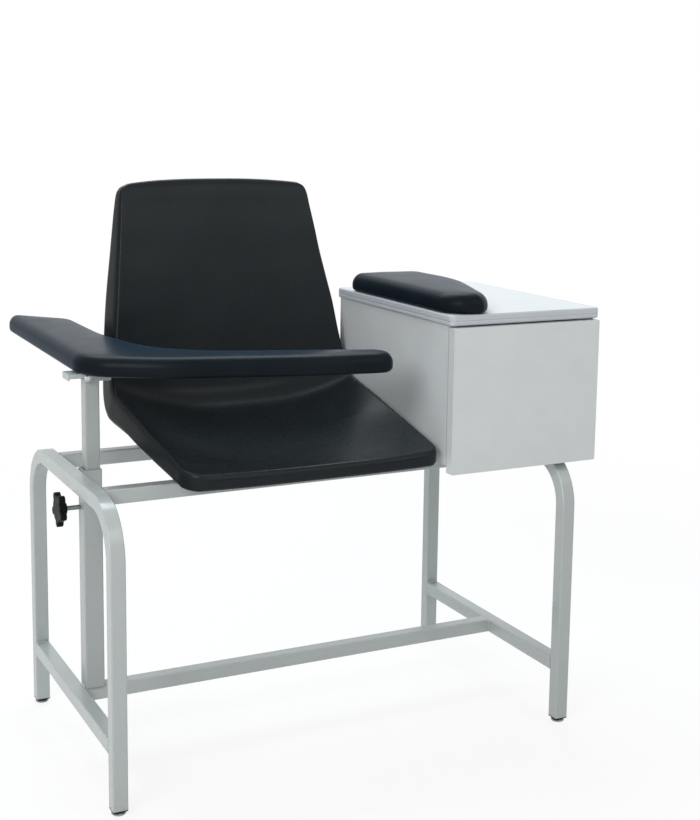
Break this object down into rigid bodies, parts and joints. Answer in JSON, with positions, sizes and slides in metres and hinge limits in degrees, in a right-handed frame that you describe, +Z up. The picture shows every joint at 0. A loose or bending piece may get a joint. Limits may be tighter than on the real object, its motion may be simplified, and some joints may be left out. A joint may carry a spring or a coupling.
{
  "type": "phlebotomy chair",
  "caption": "Blood-drawing chair: square-tube frame on glides, moulded bucket seat, flip-up padded armrest on a height-adjustable post, side cabinet with door and arm pad.",
  "frame": {"origin": "on the floor, midway between the four legs", "axes": "+X to the sitter's left, where the cabinet is; +Y backwards; +Z up"},
  "size_m": [0.9445, 0.7464, 0.9901],
  "materials": {
    "frame_paint": "pale grey powder coat",
    "zinc": "zinc plated steel",
    "nickel": "nickel plated",
    "black_plastic": "black moulded plastic",
    "white_plastic": "white plastic",
    "rubber": "soft rubber",
    "skin": "black self-skinned foam, satin",
    "laminate": "board faced with pale grey laminate",
    "ply": "plywood and beech",
    "brass": "bare brass"
  },
  "bodies": {
    "frame": {"left_leg_frame": "frame_paint", "right_leg_frame": "frame_paint", "left_side_rail": "frame_paint", "right_side_rail": "frame_paint", "center_stretcher": "frame_paint", "front_seat_rail": "frame_paint", "rear_seat_rail": "frame_paint", "glide_inserts": "black_plastic", "glide_stems": "zinc", "glide_feet": "nickel", "post_socket": "frame_paint", "clamp_nut": "frame_paint", "seat_shell": "skin", "seat_inserts": "brass", "seat_bolts": "zinc", "seat_washers": "zinc", "cabinet_left_side": "laminate", "cabinet_right_side": "laminate", "cabinet_bottom": "laminate", "cabinet_back": "laminate", "cabinet_top": "laminate", "cabinet_top_edge": "laminate", "cabinet_dowels": "ply", "cabinet_screws": "zinc", "cabinet_washers": "zinc", "cabinet_arm_pad": "skin", "cabinet_pad_core": "ply", "cabinet_pad_screws": "zinc", "door_bumpers": "rubber", "cabinet_hinge_leaves": "zinc", "hinge_pins": "zinc", "cabinet_leaf_screws": "zinc", "catch_body": "white_plastic"},
    "clamp_slide": {"clamp_tip": "black_plastic"},
    "clamp_screw": {"clamp_knob": "black_plastic", "knob_insert": "brass", "clamp_stud": "zinc"},
    "arm_post": {"arm_post": "frame_paint", "post_saddle": "frame_paint", "hinge_bolt": "zinc", "hinge_nut": "zinc", "hinge_washers": "zinc"},
    "armrest": {"arm_channel": "frame_paint", "arm_pad_core": "ply", "arm_pad": "skin", "arm_pad_screws": "zinc"},
    "door": {"cabinet_door": "laminate", "door_hinge_leaves": "zinc", "door_leaf_screws": "zinc", "catch_strike": "zinc"}
  },
  "joints": [
    {"name": "clamp_advance", "type": "slide", "parent": "frame", "child": "clamp_slide", "axis": [-1, 0, 0], "range_m": [0, 0.0045]},
    {"name": "knob_turn", "type": "hinge", "parent": "clamp_slide", "child": "clamp_screw", "pos_m": [-0.43, -0.004, 0.4435], "axis": [-1, 0, 0], "range_deg": [0, 1080]},
    {"name": "arm_height", "type": "slide", "parent": "frame", "child": "arm_post", "axis": [0, 0, 1], "range_m": [-0.03, 0.12]},
    {"name": "arm_flip", "type": "hinge", "parent": "arm_post", "child": "armrest", "pos_m": [-0.402, -0.004, 0.6702], "axis": [0, -1, 0], "range_deg": [0, 76]},
    {"name": "door_swing", "type": "hinge", "parent": "frame", "child": "door", "pos_m": [0.4877, -0.22475, 0.62], "axis": [0, 0, 1], "range_deg": [0, 170]}
  ],
  "couplings": [
    {"joint": "knob_turn", "follows": "clamp_advance", "rad_per_m": 4188.8}
  ]
}
